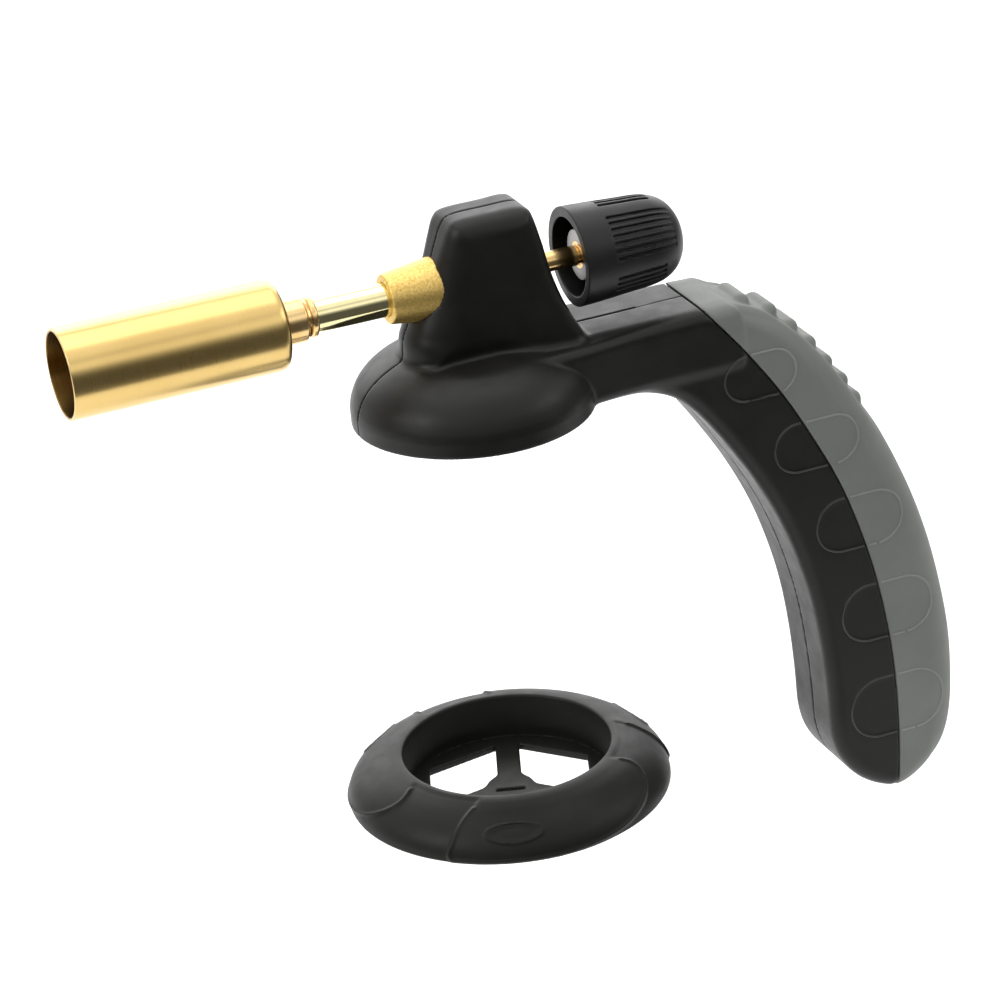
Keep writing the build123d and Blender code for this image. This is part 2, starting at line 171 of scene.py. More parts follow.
def sample(field, lines, points):
    """Trilinear value of the field at the points."""
    total = 0.0
    cells, parts = [], []
    for axis in range(3):
        step = lines[axis][1] - lines[axis][0]
        f = np.clip((points[:, axis] - lines[axis][0]) / step, 0, len(lines[axis]) - 1.001)
        cells.append(f.astype(int))
        parts.append(f - f.astype(int))
    for corner in np.ndindex(2, 2, 2):
        weight = 1.0
        for axis in range(3):
            weight = weight * (parts[axis] if corner[axis] else 1 - parts[axis])
        total = total + weight * field[tuple(c + k for c, k in zip(cells, corner))]
    return total


def surface(field, lines, relax=2):
    """Quad mesh of the zero level: one vertex per crossed cell, eased and pulled onto the surface."""
    step = lines[0][1] - lines[0][0]
    solid = field < 0
    count = np.zeros(tuple(n - 1 for n in field.shape), np.int32)
    for corner in np.ndindex(2, 2, 2):
        count += solid[tuple(slice(c, c + n) for c, n in zip(corner, count.shape))]
    crossed = (count > 0) & (count < 8)
    number = np.full(count.shape, -1, np.int64)
    cells = np.argwhere(crossed)
    number[crossed] = np.arange(len(cells))
    total = np.zeros((len(cells), 3))
    hits = np.zeros(len(cells))
    quads = []
    for axis in range(3):
        a = tuple(slice(0, -1) if k == axis else slice(None) for k in range(3))
        b = tuple(slice(1, None) if k == axis else slice(None) for k in range(3))
        edge = np.argwhere(solid[a] != solid[b])
        ea = field[tuple(edge.T)]
        far = edge.copy()
        far[:, axis] += 1
        eb = field[tuple(far.T)]
        point = edge.astype(float)
        point[:, axis] += ea / (ea - eb)
        u, v = (axis + 1) % 3, (axis + 2) % 3
        keep = ((edge[:, u] > 0) & (edge[:, v] > 0)
                & (edge[:, u] < count.shape[u]) & (edge[:, v] < count.shape[v]))
        edge, point, ea = edge[keep], point[keep], ea[keep]
        corners = []
        for du, dv in ((-1, -1), (0, -1), (0, 0), (-1, 0)):
            cell = edge.copy()
            cell[:, u] += du
            cell[:, v] += dv
            index = number[tuple(cell.T)]
            np.add.at(total, index, point)
            np.add.at(hits, index, 1)
            corners.append(index)
        quad = np.stack(corners, axis=1)
        quad[ea >= 0] = quad[ea >= 0][:, ::-1]
        quads.append(quad)
    quads = np.vstack(quads)
    verts = total / np.maximum(hits, 1)[:, None] * step + [line[0] for line in lines]
    for _ in range(relax):
        pull = np.zeros_like(verts)
        degree = np.zeros(len(verts))
        for k in range(4):
            np.add.at(pull, quads[:, k], verts[quads[:, (k + 1) % 4]] + verts[quads[:, k - 1]])
            np.add.at(degree, quads[:, k], 2)
        verts = 0.5 * verts + 0.5 * pull / np.maximum(degree, 1)[:, None]
        verts = settle(field, lines, verts, step)
    return verts, quads


def settle(field, lines, verts, step):
    """Newton step of the vertices onto the zero level."""
    for _ in range(2):
        value = sample(field, lines, verts)
        slope = np.stack([
            (sample(field, lines, verts + offset) - sample(field, lines, verts - offset)) / step
            for offset in np.eye(3) * step / 2], axis=1)
        size = np.maximum((slope ** 2).sum(axis=1), 0.2)
        verts = verts - np.clip(value / size, -step / 2, step / 2)[:, None] * slope
    return verts


def make_piece(name, verts, faces, body, material, nodes=(), sharp_deg=35):
    """Mesh object in metres that rides on a body and stands for CAD nodes."""
    mesh = bpy.data.meshes.new(name)
    verts = np.asarray(verts, float) * MM
    mesh.from_pydata(verts.tolist(), [], faces if isinstance(faces, list) else faces.tolist())
    mesh.update()
    piece = bpy.data.objects.new(name, mesh)
    bpy.context.scene.collection.objects.link(piece)
    mesh.materials.append(material)
    mesh.shade_smooth()
    if sharp_deg:
        mesh.set_sharp_from_angle(angle=radians(sharp_deg))
    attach(piece, body)
    if nodes:
        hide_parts(*nodes)
    return piece


# ------------------------------------------------------------------ shapes of the housing
STEP = 0.55

HANDLE_SIDE = smooth_line([
    (20, DECK_Z), (50, DECK_Z), (72, 4.4), (84, 3.6), (92.5, 1.2), (101, -4.2), (110, -13), (118, -23.4),
    (125.5, -35.5), (132.8, -50), (139.6, -65), (145.4, -80.5), (149.8, -96), (153, -112), (155, -127),
    (155.4, -141), (154.6, -155), (152, -165.5), (147, -173), (140, -177.4), (132.5, -179), (125, -177),
    (117.5, -172), (111.8, -164.5), (108.8, -155), (108.2, -140), (107.2, -125), (105, -108), (101.3, -92),
    (95.8, -75.5), (88.6, -60), (79.8, -45), (70.5, -31.5), (62.5, -23.2), (53, -18.8), (42, -17.2),
    (20, -17.2)])
GRIP_LINE = smooth_line([(69.6, 8.2), (72.8, 4.2), (85.6, -12), (96.7, -28.2), (106.4, -45.6), (114.9, -63.4),
                         (121.3, -81.5), (126.4, -101.2), (129.7, -121), (131.3, -139.5), (131.5, -157.5),
                         (130.7, -175), (129.6, -190)], steps=6)
HEAD_SIDE = smooth_line([
    (-21.6, 0), (-21.2, 6), (-20.6, 12), (-18.4, 17), (-13.9, 25), (-10.2, 33.5), (-7.3, 41), (-4.9, 46.2),
    (-1.4, 48.5), (10, 48.7), (17.5, 48.7), (20.6, 47.6), (22.2, 44), (24.8, 29.3), (27.2, 20.5),
    (29.8, 13.8), (33.2, 7), (35.5, 0)])
DOME_SIDE = smooth_line([(12, 6.0), (21.5, 5.0), (26.5, 3.2), (31.5, 0), (35.2, -4.0), (37.2, -8.2),
                         (DOME_R, -11)], steps=6)
HOLLOW_SIDE = [(0, 0.5), (14, 0.5), (22, -0.6), (29.5, -3.4), (33.6, -7), (35.3, -11.5), (35.3, -30),
               (0, -30)]
DECK_PLAN = [(-22.5, 0), (-21, 9), (-17.5, 15.5), (-11, 19), (0, 20.6), (12, 21.4), (24, 21.2), (36, 19.8),
             (48, 18), (62, 16.6), (84, 16)]

# Crests of the thumb ribs, how far each is sunk, and the ends of the valley that they stand in.
THUMB_RIBS = [(93, 4.2), (101.7, -1.7), (108.1, -9), (114, -16.3), (119.3, -23.9), (124.3, -31.5),
              (128.5, -38.7)]
THUMB_SUNK = (1.7, 1.1, 0.7, 0.5, 0.5, 0.4, 0.4)
THUMB_ENDS = (80, 135)
THUMB_RIB_R = 3.0
CHANNEL_DEPTH = 1.9
SCREWS = [(6, 41.5), (56, -7), (93, -50), (116, -104), (118, -156)]
RECESS_R = 3.3  # recess round a screw head
SEAM = 0.14  # half gap at the mould line
GRIP_PROUD = 0.3  # how far the grey grip stands over the black
GRIP_GAP = 0.16  # half gap between them
GRIP_ZONE = np.vstack([GRIP_LINE, [(200, -190), (200, 8)]])  # outline of everything behind the grip line


def part_way(value, start, span):
    """0 up to start, rising to 1 over span."""
    return np.clip((value - start) / span, 0, 1)


def step_in(distance, ease, height):
    """Smooth step from height inside (negative distance) down to 0 outside."""
    return height / (1 + np.exp(np.clip(distance / ease, -40, 40)))


def housing_field(x, y, z):
    """Outer form of the near half of housing and grip (y from 0 to -40), and distance to the grip zone."""
    width = -y
    radius = np.hypot(x, y)
    dome = around(radius, z, [(0, 6.0)] + DOME_SIDE.tolist() + [(DOME_R, RIM_Z), (0, RIM_Z)])
    plan = smooth_line(DECK_PLAN)
    plan = np.vstack([plan, plan[::-1] * (1, -1)])
    deck_height = np.abs(z - (DECK_Z - DECK_DEEP / 2)) - DECK_DEEP / 2
    deck = round_cut(outline_distance(x, width, plan), deck_height, 3.2)
    # the head narrows upwards and widens to the rear; its edges are rounder in front than beside the knob
    head_half = 14.2 - 2.6 * part_way(z, 4, 44) + 1.5 * part_way(x, 12, 18)
    front_round = 12.6 - 4.2 * part_way(z, 14, 22)
    side_round = front_round + (4.2 - front_round) * part_way(x, 6, 14)
    head_round = side_round + (6.2 - side_round) * part_way(z, 36, 10)
    head = round_cut(outline_distance(x, z, HEAD_SIDE), width - head_half, head_round)
    grip_zone = outline_distance(x, z, GRIP_ZONE)
    edge = 4.5 + 7 * np.clip(-(grip_zone - 2) / 16, 0, 1)
    handle = round_cut(outline_distance(x, z, HANDLE_SIDE), width - HALF_W, edge)
    form = smooth_union(dome, deck, 1.0)
    form = smooth_union(form, handle, 3.0)
    form = smooth_union(form, head, 2.6)
    return form, grip_zone


# Finger pads: centre x and z, length and height.
PADS = [(89.8, -20.5, 24.5, 15.4), (107.7, -48.2, 29.2, 16.7), (121.2, -78.6, 30.5, 18.5),
        (129.4, -112.0, 32.4, 19.9), (131.4, -147.0, 33.6, 21.1)]
PAD_DEPTH = 0.16
PAD_ARC, PAD_RUN = 50, 22  # points on a quarter of a pad's outline, and on each straight
BEAD_R = 0.42  # the line round a pad
BEAD_SUNK = 0.12


def pads(x, z):
    """Depth of the shallow recesses inside the finger pads on the sides of the handle."""
    depth = 0.0
    for px, pz, length, tall in PADS:
        reach = np.maximum(np.abs(x - px) - (length - tall) / 2, 0)
        off = np.hypot(reach, z - pz) - tall / 2
        depth = depth + step_in(off + 0.2, 0.3, PAD_DEPTH)
    return depth


def flank(x, z, proud=0.0):
    """Height y of the handle's far flank at each (x, z), found by halving."""
    low, high = np.full(x.shape, 4.0), np.full(x.shape, 18.0)
    for _ in range(24):
        middle = (low + high) / 2
        inside = housing_field(x, -middle, z)[0] + pads(x, z) < proud
        low, high = np.where(inside, middle, low), np.where(inside, high, middle)
    return low


def bead(path, sides=8):
    """Closed-ended round bead along a path, as vertices and faces."""
    path = np.asarray(path)
    ahead = np.gradient(path, axis=0)
    ahead /= np.linalg.norm(ahead, axis=1)[:, None]
    out = np.cross(ahead, (0.0, 1.0, 0.0))
    out /= np.linalg.norm(out, axis=1)[:, None]
    over = np.cross(out, ahead)
    turn = np.linspace(0, 2 * pi, sides, endpoint=False)
    verts = (path[:, None] + BEAD_R * (np.cos(turn)[None, :, None] * out[:, None]
                                       + np.sin(turn)[None, :, None] * over[:, None])).reshape(-1, 3)
    faces = []
    for k in range(len(path) - 1):
        here, there = k * sides, (k + 1) * sides
        for i in range(sides):
            j = (i + 1) % sides
            faces.append([here + i, here + j, there + j, there + i])
    faces += [list(range(sides))[::-1], [(len(path) - 1) * sides + i for i in range(sides)]]
    return verts, faces


def pad_outline(px, pz, length, tall):
    """Points round a pad: two half circles joined by straights."""
    t = np.linspace(0, 2 * pi, 4 * PAD_ARC, endpoint=False)
    cx = px + np.where(np.cos(t) > 0, 1, -1) * (length - tall) / 2 + np.cos(t) * tall / 2
    cz = pz + np.sin(t) * tall / 2
    straight = np.linspace(-1, 1, PAD_RUN + 2)[1:-1] * (length - tall) / 2
    top, bottom = (np.full(PAD_RUN, pz + offset) for offset in (tall / 2, -tall / 2))
    cuts = [PAD_ARC, 3 * PAD_ARC]
    right_up, left, right_down = np.split(cx, cuts)
    rise, middle, fall = np.split(cz, cuts)
    return (np.concatenate([right_up, px - straight, left, px + straight, right_down]),
            np.concatenate([rise, top, middle, bottom, fall]))


def pad_lines(keep, proud, margin=0.5):
    """Beads along the pads' outlines on both flanks, in front of the grip line (keep -1) or behind it (1)."""
    verts, faces = [], []
    for pad in PADS:
        cx, cz = pad_outline(*pad)
        zone = outline_distance(cx, cz, GRIP_ZONE) * keep
        for side in (-1, 1):
            shown = zone < -margin
            if side > 0:  # the far half's screw recesses interrupt the lines
                for sx, sz in SCREWS:
                    shown = shown & (np.hypot(cx - sx, cz - sz) > RECESS_R + 0.6)
            order = np.roll(np.arange(len(cx)), -np.argmin(shown))
            for run in np.split(order, np.flatnonzero(np.diff(shown[order].astype(int))) + 1):
                if not shown[run[0]] or len(run) < 4:
                    continue
                height = flank(cx[run], cz[run], proud) - BEAD_SUNK
                v, f = bead(np.stack([cx[run], side * height, cz[run]], axis=1))
                faces += [[i + len(verts) for i in face] for face in f]
                verts += v.tolist()
    return np.array(verts), faces


# ------------------------------------------------------------------ materials


def shader_of(name):
    """New node material, with its tree and its Principled shader."""
    material = bpy.data.materials.new(name)
    material.use_nodes = True
    return material, material.node_tree, material.node_tree.nodes["Principled BSDF"]


def grain(tree, scale, detail=3.0, stretch=None, roughness=0.55):
    """Noise in object space, with scale per metre; stretch multiplies each axis."""
    place = tree.nodes.new("ShaderNodeTexCoord").outputs["Object"]
    if stretch:
        mapping = tree.nodes.new("ShaderNodeMapping")
        mapping.inputs["Scale"].default_value = stretch
        tree.links.new(place, mapping.inputs["Vector"])
        place = mapping.outputs["Vector"]
    noise = tree.nodes.new("ShaderNodeTexNoise")
    noise.inputs["Scale"].default_value = scale
    noise.inputs["Detail"].default_value = detail
    noise.inputs["Roughness"].default_value = roughness
    tree.links.new(place, noise.inputs["Vector"])
    return noise.outputs["Fac"]


def lathe_grain(tree, along, across, detail=4.0):
    """Noise drawn out round the gas line, as a brush or a lathe tool leaves it."""
    place = tree.nodes.new("ShaderNodeTexCoord").outputs["Object"]
    split = tree.nodes.new("ShaderNodeSeparateXYZ")
    tree.links.new(place, split.inputs["Vector"])
    lower = tree.nodes.new("ShaderNodeMath")
    lower.operation = "SUBTRACT"
    lower.inputs[1].default_value = AXIS_Z * MM
    tree.links.new(split.outputs["Z"], lower.inputs[0])
    angle = tree.nodes.new("ShaderNodeMath")
    angle.operation = "ARCTAN2"
    tree.links.new(split.outputs["Y"], angle.inputs[0])
    tree.links.new(lower.outputs[0], angle.inputs[1])
    join = tree.nodes.new("ShaderNodeCombineXYZ")
    for source, socket, factor in ((split.outputs["X"], "X", along), (angle.outputs[0], "Y", across)):
        scaled = tree.nodes.new("ShaderNodeMath")
        scaled.operation = "MULTIPLY"
        scaled.inputs[1].default_value = factor
        tree.links.new(source, scaled.inputs[0])
        tree.links.new(scaled.outputs[0], join.inputs[socket])
    noise = tree.nodes.new("ShaderNodeTexNoise")
    noise.inputs["Scale"].default_value = 1.0
    noise.inputs["Detail"].default_value = detail
    tree.links.new(join.outputs["Vector"], noise.inputs["Vector"])
    return noise.outputs["Fac"]


def spread(tree, source, low, high, start=0.3, end=0.7):
    """Map the noise to a range of values."""
    node = tree.nodes.new("ShaderNodeMapRange")
    node.inputs["From Min"].default_value = start
    node.inputs["From Max"].default_value = end
    node.inputs["To Min"].default_value = low
    node.inputs["To Max"].default_value = high
    tree.links.new(source, node.inputs["Value"])
    return node.outputs["Result"]


def tint(tree, source, dark, light, start=0.3, end=0.7):
    """Colour between dark and light by the noise."""
    ramp = tree.nodes.new("ShaderNodeValToRGB")
    ramp.color_ramp.elements[0].position = start
    ramp.color_ramp.elements[0].color = (*dark, 1)
    ramp.color_ramp.elements[1].position = end
    ramp.color_ramp.elements[1].color = (*light, 1)
    tree.links.new(source, ramp.inputs["Fac"])
    return ramp.outputs["Color"]


def emboss(tree, shader, *layers):
    """Bump from noise layers, each as (source, depth in millimetres)."""
    normal = None
    for source, depth in layers:
        bump = tree.nodes.new("ShaderNodeBump")
        bump.inputs["Strength"].default_value = 1.0
        bump.inputs["Distance"].default_value = depth * MM
        tree.links.new(source, bump.inputs["Height"])
        if normal:
            tree.links.new(normal, bump.inputs["Normal"])
        normal = bump.outputs["Normal"]
    tree.links.new(normal, shader.inputs["Normal"])


def moulded(name, dark, light, rough, grain_mm, depth, specular=0.5):
    """Moulded plastic: fine spark-eroded grain, faint flow marks and rubbed patches."""
    material, tree, shader = shader_of(name)
    cloudy = grain(tree, 45, 4)
    tree.links.new(tint(tree, cloudy, dark, light), shader.inputs["Base Color"])
    rubbed = spread(tree, grain(tree, 160, 5), rough - 0.05, rough + 0.06)
    tree.links.new(rubbed, shader.inputs["Roughness"])
    shader.inputs["Specular IOR Level"].default_value = specular
    fine = grain(tree, 1 / (grain_mm * MM), 2)
    emboss(tree, shader, (fine, depth), (grain(tree, 110, 3), depth * 4))
    return material


# Darker brass for the parts of a piece nearer the gas line than a given radius, such as the inside of the
# burner cup.
INNER_DARK_BRASS = (0.27, 0.16, 0.045)


def within(tree, radius):
    """1 nearer to the gas line than the radius (mm), 0 outside it."""
    place = tree.nodes.new("ShaderNodeTexCoord").outputs["Object"]
    flat = tree.nodes.new("ShaderNodeVectorMath")
    flat.operation = "MULTIPLY_ADD"
    flat.inputs[1].default_value = (0, 1, 1)
    flat.inputs[2].default_value = (0, 0, -AXIS_Z * MM)
    tree.links.new(place, flat.inputs[0])
    length = tree.nodes.new("ShaderNodeVectorMath")
    length.operation = "LENGTH"
    tree.links.new(flat.outputs["Vector"], length.inputs[0])
    less = tree.nodes.new("ShaderNodeMath")
    less.operation = "LESS_THAN"
    less.inputs[1].default_value = radius * MM
    tree.links.new(length.outputs["Value"], less.inputs[0])
    return less.outputs[0]


def brassy(name, dark, light, rough, along=0.0, across=3.0, depth=0.004, blotch=60, aniso=0.0, darker_within=0.0):
    """Brass or plated metal: tool or brush marks round the gas line and a faint uneven tone."""
    material, tree, shader = shader_of(name)
    shader.inputs["Metallic"].default_value = 1.0
    marks = lathe_grain(tree, along, across) if along else grain(tree, 2500, 4)
    tone = tree.nodes.new("ShaderNodeMix")
    tone.data_type = "FLOAT"
    tone.inputs[0].default_value = 0.1 if aniso else 0.25
    tree.links.new(grain(tree, blotch, 4), tone.inputs[2])
    tree.links.new(marks, tone.inputs[3])
    colour = tint(tree, tone.outputs[0], dark, light, 0.36, 0.62)
    # Nearer the gas line than the given radius, the colour turns to a darker brass.
    if darker_within:
        inner_darkening = tree.nodes.new("ShaderNodeMix")
        inner_darkening.data_type = "RGBA"
        tree.links.new(within(tree, darker_within), inner_darkening.inputs[0])
        tree.links.new(colour, inner_darkening.inputs[6])
        inner_darkening.inputs[7].default_value = (*INNER_DARK_BRASS, 1)
        colour = inner_darkening.outputs[2]
    tree.links.new(colour, shader.inputs["Base Color"])
    tree.links.new(spread(tree, marks, rough * 0.97, rough * 1.04), shader.inputs["Roughness"])
    if depth:
        emboss(tree, shader, (marks, depth))
    if aniso:
        shader.inputs["Anisotropic"].default_value = aniso
        shader.inputs["Anisotropic Rotation"].default_value = 0.25
        tangent = tree.nodes.new("ShaderNodeTangent")
        tangent.direction_type = "RADIAL"
        tangent.axis = "X"
        tree.links.new(tangent.outputs["Tangent"], shader.inputs["Tangent"])
    return material


def cast_metal(name):
    """Sand-cast brass: pitted skin with worn high spots."""
    material, tree, shader = shader_of(name)
    shader.inputs["Metallic"].default_value = 1.0
    coarse = grain(tree, 1300, 5, roughness=0.65)
    fine = grain(tree, 4200, 3)
    colour = tint(tree, coarse, (0.60, 0.39, 0.10), (0.80, 0.58, 0.20), 0.36, 0.60)
    tree.links.new(colour, shader.inputs["Base Color"])
    tree.links.new(spread(tree, coarse, 0.54, 0.38), shader.inputs["Roughness"])
    emboss(tree, shader, (coarse, 0.10), (fine, 0.03))
    return material


# moulded: dark and light tone, roughness, grain (mm), depth of the grain (mm), specular
# brassy: dark and light tone, roughness, then the marks and the darker inside by name
MATERIALS = {
    "black_plastic": moulded("black_plastic_look", (0.0062, 0.0060, 0.0052), (0.0086, 0.0084, 0.0074),
                             0.40, 0.35, 0.006, 0.26),
    "ring_plastic": moulded("ring_plastic_look", (0.0066, 0.0066, 0.0056), (0.0092, 0.0092, 0.0080),
                            0.44, 0.35, 0.007, 0.2),
    "knob_plastic": moulded("knob_plastic_look", (0.0070, 0.0070, 0.0072), (0.0100, 0.0100, 0.0104),
                            0.40, 0.3, 0.005, 0.32),
    "grey_grip": moulded("grey_grip_look", (0.150, 0.158, 0.146), (0.172, 0.180, 0.166),
                         0.56, 0.4, 0.008, 0.4),
    # The burner is a darker brass within 13.4 mm of the gas line, inside the cup.
    "burner_brass": brassy("burner_brass_look", (0.68, 0.475, 0.175), (0.73, 0.52, 0.20), 0.28,
                           along=2600, across=0.4, depth=0, blotch=40, aniso=0.6, darker_within=13.4),
    "turned_brass": brassy("turned_brass_look", (0.72, 0.47, 0.18), (0.88, 0.64, 0.31), 0.20,
                           along=4200, across=1.2, depth=0.004),
    "plated_tube": brassy("plated_tube_look", (0.80, 0.71, 0.36), (0.88, 0.80, 0.47), 0.10,
                          along=900, across=0.8, depth=0.0008),
    "cast_brass": cast_metal("cast_brass_look"),
    "sintered_bronze": brassy("sintered_bronze_look", (0.30, 0.18, 0.10), (0.55, 0.36, 0.20), 0.5,
                              depth=0.05),
    "steel": brassy("steel_look", (0.40, 0.39, 0.38), (0.52, 0.51, 0.50), 0.44,
                    along=3000, across=2.0, depth=0.001),
    "nitrile": moulded("nitrile_look", (0.010, 0.010, 0.010), (0.020, 0.020, 0.020), 0.55, 0.3, 0.006),
    "fibre": moulded("fibre_look", (0.10, 0.035, 0.02), (0.16, 0.06, 0.035), 0.7, 0.2, 0.02),
}
# The raised lines round the finger pads get lighter copies of the black and grey plastics: a painted
# highlight along each line.
RIDGE_HIGHLIGHT_LOOKS = {  # the raised lines round the finger pads
    "black_plastic": moulded("black_ridge_painted_highlight_look", (0.014, 0.014, 0.013), (0.024, 0.024, 0.022),
                             0.36, 0.35, 0.003),
    "grey_grip": moulded("grey_ridge_painted_highlight_look", (0.19, 0.20, 0.185), (0.23, 0.24, 0.225),
                         0.5, 0.4, 0.004, 0.4),
}
for part in frame["record"]["subparts"]:
    node = bpy.data.objects[part["node"]]
    node.data.materials.clear()
    node.data.materials.append(MATERIALS[part["material_slot"]])


# ------------------------------------------------------------------ housing and grip
SNOUT_ROOT = -8  # where the cast snout leaves the head, and its radius there
SNOUT_R = 9.95
SNOUT_ROOM_R = 9.7  # the hole in the housing is a little tighter, so that no gap shows
SNOUT_TAPER = 0.1324
BODY_R = 11.0  # upright leg of the valve body


def bore(radius, height, size, start, end):
    """Straight round hole about an axis, as a field."""
    return np.maximum(radius - size, np.abs(height - (start + end) / 2) - (end - start) / 2)


def room(x, y, z):
    """Space that the valve body, the needle and the cartridge take inside the housing."""
    gas = np.hypot(y, z - AXIS_Z)
    upright = np.hypot(x, y)
    snout_r = np.clip(SNOUT_ROOM_R - SNOUT_TAPER * (SNOUT_ROOT - x), 0, SNOUT_ROOM_R)
    space = np.maximum(gas - snout_r, np.abs(x + 2) - 24)
    space = np.minimum(space, bore(gas, x, 4.5, 20, 45))
    space = np.minimum(space, bore(upright, z, BODY_R + 0.05, -2, AXIS_Z))
    return np.minimum(space, around(upright, z, HOLLOW_SIDE))


def ribs_and_valley(x, y, z):
    """Thumb ribs across the palm side, and the soft channel along each side of them."""
    low, high = THUMB_ENDS
    rise, fall = part_way(x, low, 12), np.clip((high - x) / 14, 0, 1)
    along = rise * rise * (3 - 2 * rise) * fall * fall * (3 - 2 * fall)
    palm = np.clip((outline_distance(x, z, HANDLE_SIDE) + 9) / 3, 0, 1)
    channel = step_in(np.abs(y) - 10.4, 0.6, CHANNEL_DEPTH * along * palm)
    bars = 1e3
    reach = np.maximum(np.abs(y) - 5.2, 0)
    for (rx, rz), sunk in zip(THUMB_RIBS, THUMB_SUNK):
        bar = np.sqrt((x - rx + 2.1 + sunk) ** 2 + (z - rz + 1.9 + sunk) ** 2 + reach ** 2) - THUMB_RIB_R
        bars = smooth_union(bars, bar, 0.5)
    return bars, channel


(x, y, z), lines = axes((-38.2, -38.2, -180), (156.5, 0, 49.2), STEP)
form, zone = housing_field(x, y, z)
relief = pads(x, z) * np.clip((-y - 13) / 2, 0, 1)
form = form + relief
black = np.maximum(form, GRIP_GAP - zone)
black = np.maximum(black, -room(x, y, z))
black = np.maximum(black, y + SEAM)
left_verts, left_faces = surface(black, lines)
make_piece("housing_near_half", left_verts, left_faces, "torch", MATERIALS["black_plastic"],
           ["housing_left", "handle_left"], 50)
for sx, sz in SCREWS:
    black = np.maximum(black, -bore(np.hypot(x - sx, z - sz), y, RECESS_R, -40, -8))
right_verts, right_faces = surface(black, lines)
make_piece("housing_far_half", right_verts * (1, -1, 1), right_faces[:, ::-1], "torch",
           MATERIALS["black_plastic"], ["housing_right", "handle_right"], 50)

(x, y, z), lines = axes((68, -17, -180), (157, 17, 9), STEP)
form, zone = housing_field(x, -np.abs(y), z)
bars, channel = ribs_and_valley(x, y, z)
relief = pads(x, z) * np.clip((np.abs(y) - 13) / 2, 0, 1)
grip = smooth_union(form - GRIP_PROUD + relief + channel, bars, 1.2)
grip = round_cut(grip, zone + GRIP_GAP, 0.5)
grip_verts, grip_faces = surface(grip, lines)
make_piece("grip_cover", grip_verts, grip_faces, "torch", MATERIALS["grey_grip"],
           ["rear_grip"], 50)
# The lines round the pads wear the lighter ridge colours, a painted highlight.
for name, slot, keep, proud in (("pad_lines_front", "black_plastic", -1, 0),
                                ("pad_lines_grip", "grey_grip", 1, GRIP_PROUD)):
    line_verts, line_faces = pad_lines(keep, proud)
    make_piece(name, line_verts, line_faces, "torch", RIDGE_HIGHLIGHT_LOOKS[slot], (), 0)


# ------------------------------------------------------------------ foot ring
RING_BASE = RING_LOW[2]
RING_R = RING_HIGH[0]
RING_TURN = 69.6  # heading of the first spoke, in degrees
RING_SKIRT = smooth_line([(RING_R, 3.4), (51.7, 6.6), (50.0, 9.9), (46.9, 13.1), (42.4, 15.9), (38.2, 17.5),
                          (36.2, 18.0)], steps=6)
RING_OUTSIDE = [(0, 0), (RING_R, 0), (RING_R, 3.4)] + RING_SKIRT.tolist() + [(35.0, 18.1), (0, 18.1)]
RING_UNDER = [(35.6, -2), (35.6, 14.6), (38.4, 14.2), (42.0, 12.4), (45.6, 9.8), (48.2, 7.0), (49.9, 3.4),
              (49.9, -2)]
CAN_R = 33.3  # bore for the base of the cartridge
FLOOR_TOP = 3.3  # upper face of the web that carries the cartridge
SPOKES = (0, 2 * pi / 3, 4 * pi / 3)
WINDOW_IN = 25.6  # distance of the windows' outer sides from the middle
HUB_R = 7.6
SPOKE_HALF = 3.9
PER_DEG = 0.84  # millimetres of skirt per degree of heading
RELIEF_CELL = 0.4
BADGE_UP = 16.4  # middle of the oval badge, along the skirt from its foot
# Edge of a petal: heading (degrees) and length along the skirt from its foot (mm).
RIDGE = smooth_line([(-17.5, 29), (-20.5, 22), (-22.8, 12), (-23.6, 5.2), (-18, 4.6), (0, 4.4), (24, 4.6),
                     (42, 6.2), (55, 10.5), (63, 16.5), (67, 22.5), (67.5, 27), (66, 31)])


def line_distance(u, v, path):
    """Distance from (u, v) to an open path."""
    best = np.full(np.broadcast(u, v).shape, 1e9)
    for (ax, ay), (bx, by) in zip(path, path[1:]):
        ex, ey = bx - ax, by - ay
        t = np.clip(((u - ax) * ex + (v - ay) * ey) / (ex * ex + ey * ey), 0, 1)
        best = np.minimum(best, (u - ax - t * ex) ** 2 + (v - ay - t * ey) ** 2)
    return np.sqrt(best)


def line_on_skirt(distance, height, width):
    """Raised line of that height and width along distance = 0."""
    return height * np.exp(-(distance / width) ** 2)


def ring_relief():
    """Height of the ring's petals and ovals on a table of heading (degrees) and profile length (mm)."""
    heading = np.arange(-60, 60.01, RELIEF_CELL)[:, None]
    length = np.arange(0, 40.01, RELIEF_CELL)[None, :]
    path = RIDGE * (PER_DEG, 1)
    closed = np.vstack([path, [(60 * PER_DEG, 42), (-14 * PER_DEG, 42)]])
    height = 0
    for turn in (-120, 0, 120):
        off = line_distance((heading - turn) * PER_DEG, length, path)
        inside = outline_distance((heading - turn) * PER_DEG, length, closed)
        height = height + line_on_skirt(off, 0.62, 0.62) + step_in(inside, 0.35, 0.42)

    def oval(half_wide, half_tall):
        """Distance to an oval round the badge's middle, roughly in millimetres."""
        return (np.hypot(heading * PER_DEG / half_wide, (length - BADGE_UP) / half_tall) - 1) * half_tall

    outer = oval(8.9, 4.6)
    height = height + line_on_skirt(outer, 0.50, 0.40) - step_in(outer + 0.5, 0.22, 0.35)
    return height + line_on_skirt(oval(7.4, 3.3), 0.30, 0.34)


def turned_to(u, v, angle):
    """Coordinates of (u, v) along and across a direction at that angle."""
    return u * cos(angle) + v * sin(angle), -u * sin(angle) + v * cos(angle)


def ring_windows(u, v, radius):
    """Windows between the three spokes and the hub; u runs along the first spoke."""
    sides = [np.abs(turned_to(u, v, t)[0]) for t in (pi / 6, pi / 2, 5 * pi / 6)]
    hexagon = np.maximum.reduce(sides) - WINDOW_IN
    spokes = 1e3
    for t in SPOKES:
        along, aside = turned_to(u, v, t)
        spokes = np.minimum(spokes, np.maximum(np.abs(aside) - SPOKE_HALF, -along))
    return np.maximum(hexagon, -smooth_union(spokes, radius - HUB_R, 2.0))


